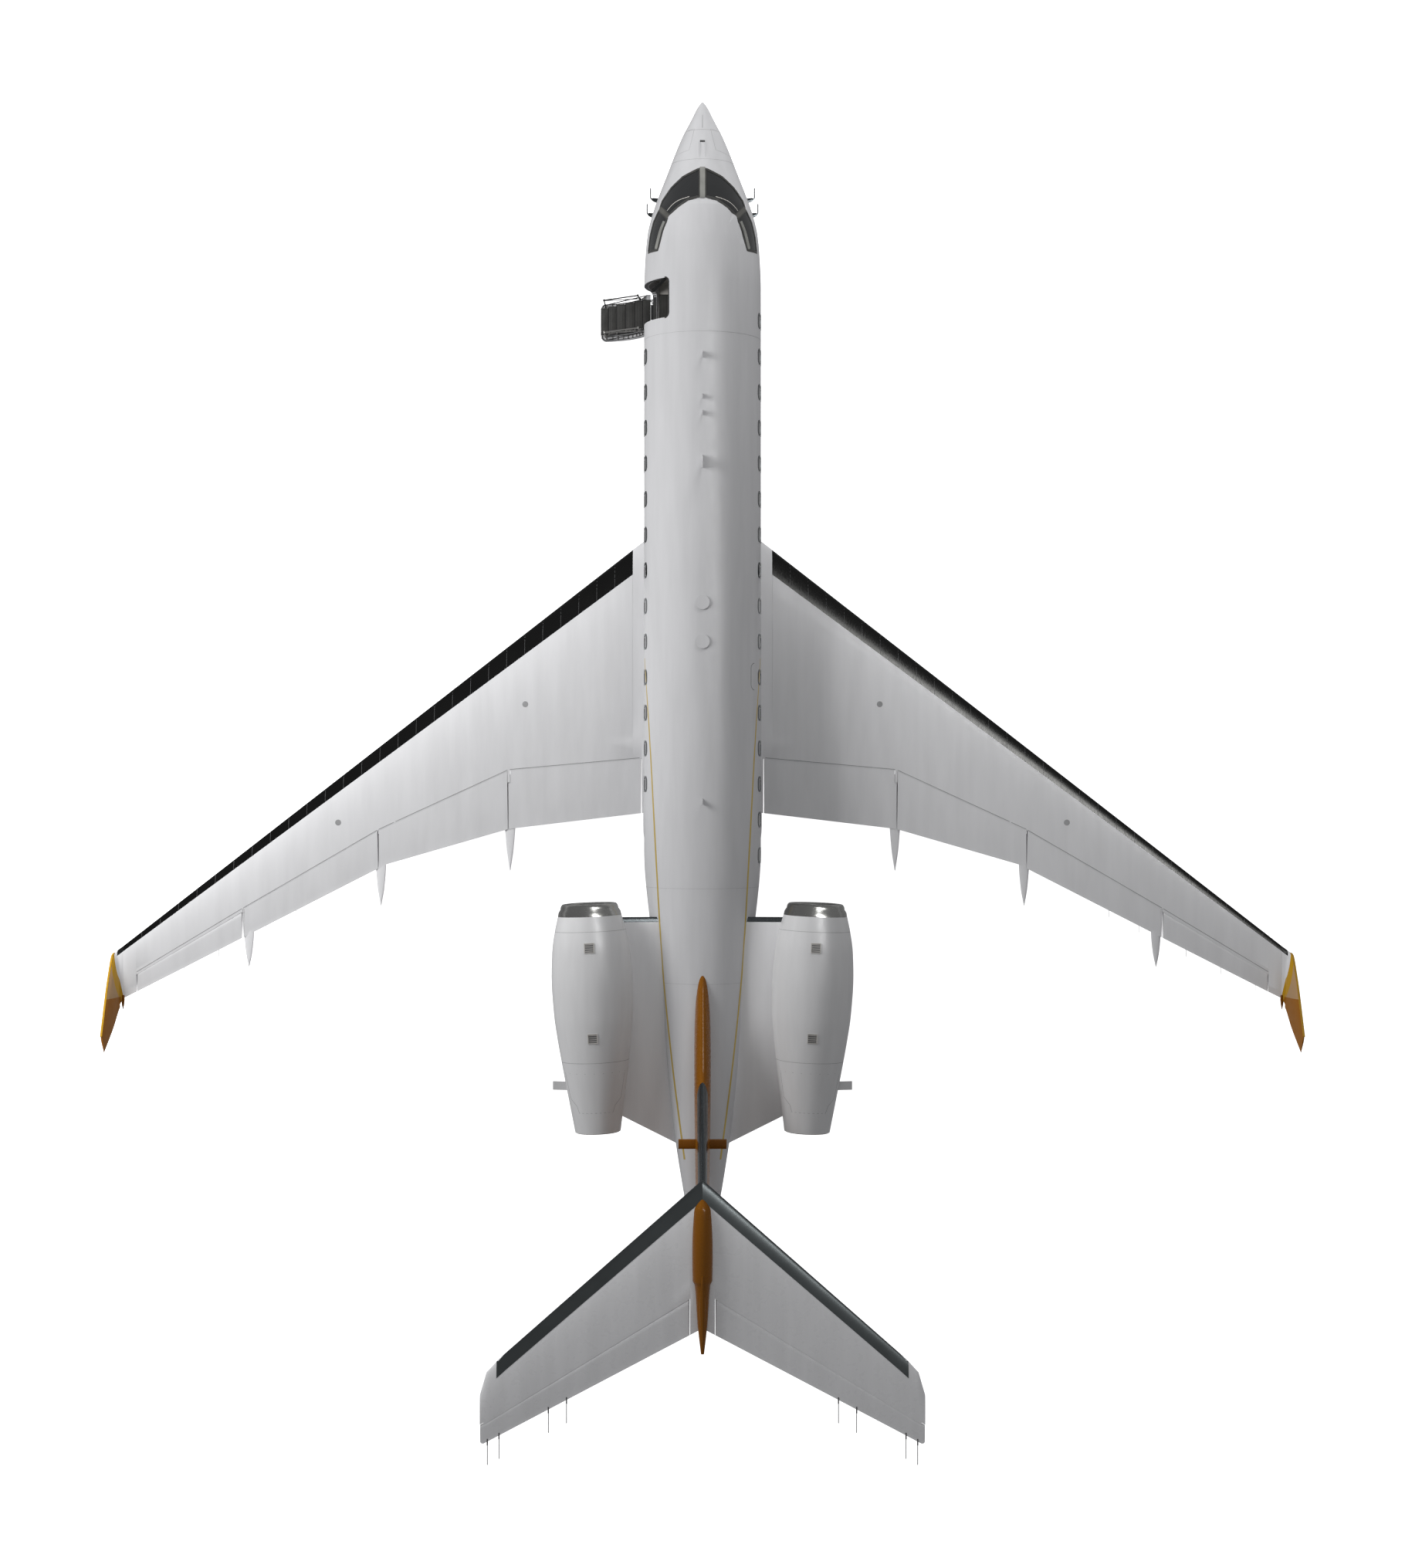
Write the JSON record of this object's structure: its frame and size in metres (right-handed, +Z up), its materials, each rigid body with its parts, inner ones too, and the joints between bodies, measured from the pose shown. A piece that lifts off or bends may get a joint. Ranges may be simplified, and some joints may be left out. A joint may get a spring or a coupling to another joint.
{
  "type": "business jet",
  "caption": "Low-wing business jet with swept wing, winglets, T tail and rear nacelles, parked on its gear with the entry stair down; wheels, fans, stair and control surfaces turn.",
  "frame": {"origin": "on the ground under the middle of the overall box", "axes": "+Y to the nose, +X to starboard, +Z up"},
  "size_m": [27.7226, 30.3, 7.794],
  "materials": {
    "white_paint": "gloss white paint",
    "white_composite": "gloss white paint on composite",
    "dark_trim": "matt dark grey",
    "orange_composite": "gloss burnt orange paint on composite",
    "light_trim": "light satin trim",
    "dark_metal": "dark machined metal",
    "polished_metal": "polished bare metal",
    "tyre_rubber": "black rubber",
    "dark_glass": "dark tinted glass"
  },
  "bodies": {
    "airframe": {"aft_fuselage": "white_paint", "belly_fairing": "white_paint", "bullet_fairing": "orange_composite", "cabin_floor": "light_trim", "cabin_fuselage": "white_paint", "cockpit_bulkhead": "light_trim", "cockpit_seats": "dark_trim", "engine_left": "dark_metal", "engine_right": "dark_metal", "fin": "orange_composite", "forward_fuselage": "white_paint", "inlet_lip_left": "polished_metal", "inlet_lip_right": "polished_metal", "instrument_panel": "dark_trim", "main_gear_leg_left": "dark_metal", "main_gear_leg_right": "dark_metal", "nacelle_left": "white_composite", "nacelle_right": "white_composite", "nose_gear_leg": "dark_metal", "pylon_left": "white_composite", "pylon_right": "white_composite", "radome": "white_paint", "side_window_left": "dark_glass", "side_window_right": "dark_glass", "slat_left": "polished_metal", "slat_right": "polished_metal", "stabilizer": "white_composite", "tail_cone": "white_paint", "windshield_left": "dark_glass", "windshield_right": "dark_glass", "wing_left": "white_paint", "wing_right": "white_paint", "winglet_left": "orange_composite", "winglet_right": "orange_composite"},
    "nose_steering": {"nose_gear_fork": "dark_metal"},
    "nose_wheels": {"nose_hub": "dark_metal", "nose_tyre_left": "tyre_rubber", "nose_tyre_right": "tyre_rubber"},
    "airstair": {"airstair_door": "white_paint", "airstair_steps": "dark_trim"},
    "rudder": {"rudder": "orange_composite"},
    "main_wheels_left": {"main_hub_left": "dark_metal", "main_tyre_inner_left": "tyre_rubber", "main_tyre_outer_left": "tyre_rubber"},
    "fan_left": {"fan_left": "dark_metal"},
    "elevator_left": {"elevator_left": "white_composite"},
    "aileron_left": {"aileron_left": "white_composite"},
    "flap_inboard_left": {"flap_inboard_left": "white_paint"},
    "flap_middle_left": {"flap_middle_left": "white_paint"},
    "flap_outboard_left": {"flap_outboard_left": "white_paint"},
    "main_wheels_right": {"main_hub_right": "dark_metal", "main_tyre_inner_right": "tyre_rubber", "main_tyre_outer_right": "tyre_rubber"},
    "fan_right": {"fan_right": "dark_metal"},
    "elevator_right": {"elevator_right": "white_composite"},
    "aileron_right": {"aileron_right": "white_composite"},
    "flap_inboard_right": {"flap_inboard_right": "white_paint"},
    "flap_middle_right": {"flap_middle_right": "white_paint"},
    "flap_outboard_right": {"flap_outboard_right": "white_paint"}
  },
  "joints": [
    {"name": "nose_steer", "type": "hinge", "parent": "airframe", "child": "nose_steering", "pos_m": [0, 12.2, 0.5], "axis": [0, 0, 1], "range_deg": [-70, 70]},
    {"name": "nose_wheel_spin", "type": "hinge", "parent": "nose_steering", "child": "nose_wheels", "pos_m": [0, 12.2, 0.265], "axis": [1, 0, 0], "continuous": true},
    {"name": "main_wheel_spin_left", "type": "hinge", "parent": "airframe", "child": "main_wheels_left", "pos_m": [-2.03, -0.25, 0.4825], "axis": [1, 0, 0], "continuous": true},
    {"name": "fan_spin_left", "type": "hinge", "parent": "airframe", "child": "fan_left", "pos_m": [-2.57646, -4.86915, 3.4], "axis": [-0.0389, 0.9992, 0], "continuous": true},
    {"name": "main_wheel_spin_right", "type": "hinge", "parent": "airframe", "child": "main_wheels_right", "pos_m": [2.03, -0.25, 0.4825], "axis": [1, 0, 0], "continuous": true},
    {"name": "fan_spin_right", "type": "hinge", "parent": "airframe", "child": "fan_right", "pos_m": [2.57646, -4.86915, 3.4], "axis": [0.0389, 0.9992, 0], "continuous": true},
    {"name": "airstair_hinge", "type": "hinge", "parent": "airframe", "child": "airstair", "pos_m": [-1.2, 10.26, 1.6], "axis": [0, 1, 0], "range_deg": [0, 150.6]},
    {"name": "rudder_hinge", "type": "hinge", "parent": "airframe", "child": "rudder", "pos_m": [0, -9.97842, 3.86], "axis": [0, -0.503, 0.8643], "range_deg": [-30, 30]},
    {"name": "elevator_hinge_left", "type": "hinge", "parent": "airframe", "child": "elevator_left", "pos_m": [-0.3, -12.08231, 7.45], "axis": [0.855, 0.5187, 0], "range_deg": [-25, 20]},
    {"name": "aileron_hinge_left", "type": "hinge", "parent": "airframe", "child": "aileron_left", "pos_m": [-10.86, -4.04475, 2.26414], "axis": [0.8585, 0.5082, -0.0693], "range_deg": [-20, 20]},
    {"name": "flap_inboard_hinge_left", "type": "hinge", "parent": "airframe", "child": "flap_inboard_left", "pos_m": [-1.47, -0.37871, 1.33075], "axis": [0.9926, 0.0894, -0.0826], "range_deg": [0, 30]},
    {"name": "flap_middle_hinge_left", "type": "hinge", "parent": "airframe", "child": "flap_middle_left", "pos_m": [-4.635, -0.67678, 1.59506], "axis": [0.9037, 0.4182, -0.0916], "range_deg": [0, 30]},
    {"name": "flap_outboard_hinge_left", "type": "hinge", "parent": "airframe", "child": "flap_outboard_left", "pos_m": [-7.69, -2.09396, 1.90437], "axis": [0.8609, 0.5028, -0.0778], "range_deg": [0, 30]},
    {"name": "elevator_hinge_right", "type": "hinge", "parent": "airframe", "child": "elevator_right", "pos_m": [0.3, -12.08231, 7.45], "axis": [0.855, -0.5187, 0], "range_deg": [-25, 20]},
    {"name": "aileron_hinge_right", "type": "hinge", "parent": "airframe", "child": "aileron_right", "pos_m": [10.86, -4.04475, 2.26414], "axis": [0.8585, -0.5082, 0.0693], "range_deg": [-20, 20]},
    {"name": "flap_inboard_hinge_right", "type": "hinge", "parent": "airframe", "child": "flap_inboard_right", "pos_m": [1.47, -0.37871, 1.33075], "axis": [0.9926, -0.0894, 0.0826], "range_deg": [0, 30]},
    {"name": "flap_middle_hinge_right", "type": "hinge", "parent": "airframe", "child": "flap_middle_right", "pos_m": [4.635, -0.67678, 1.59506], "axis": [0.9037, -0.4182, 0.0916], "range_deg": [0, 30]},
    {"name": "flap_outboard_hinge_right", "type": "hinge", "parent": "airframe", "child": "flap_outboard_right", "pos_m": [7.69, -2.09396, 1.90437], "axis": [0.8609, -0.5028, 0.0778], "range_deg": [0, 30]}
  ],
  "couplings": [
    {"joint": "elevator_hinge_right", "follows": "elevator_hinge_left", "ratio": 1},
    {"joint": "aileron_hinge_right", "follows": "aileron_hinge_left", "ratio": -1},
    {"joint": "flap_middle_hinge_left", "follows": "flap_inboard_hinge_left", "ratio": 1},
    {"joint": "flap_outboard_hinge_left", "follows": "flap_inboard_hinge_left", "ratio": 1},
    {"joint": "flap_inboard_hinge_right", "follows": "flap_inboard_hinge_left", "ratio": 1},
    {"joint": "flap_middle_hinge_right", "follows": "flap_inboard_hinge_left", "ratio": 1},
    {"joint": "flap_outboard_hinge_right", "follows": "flap_inboard_hinge_left", "ratio": 1}
  ]
}
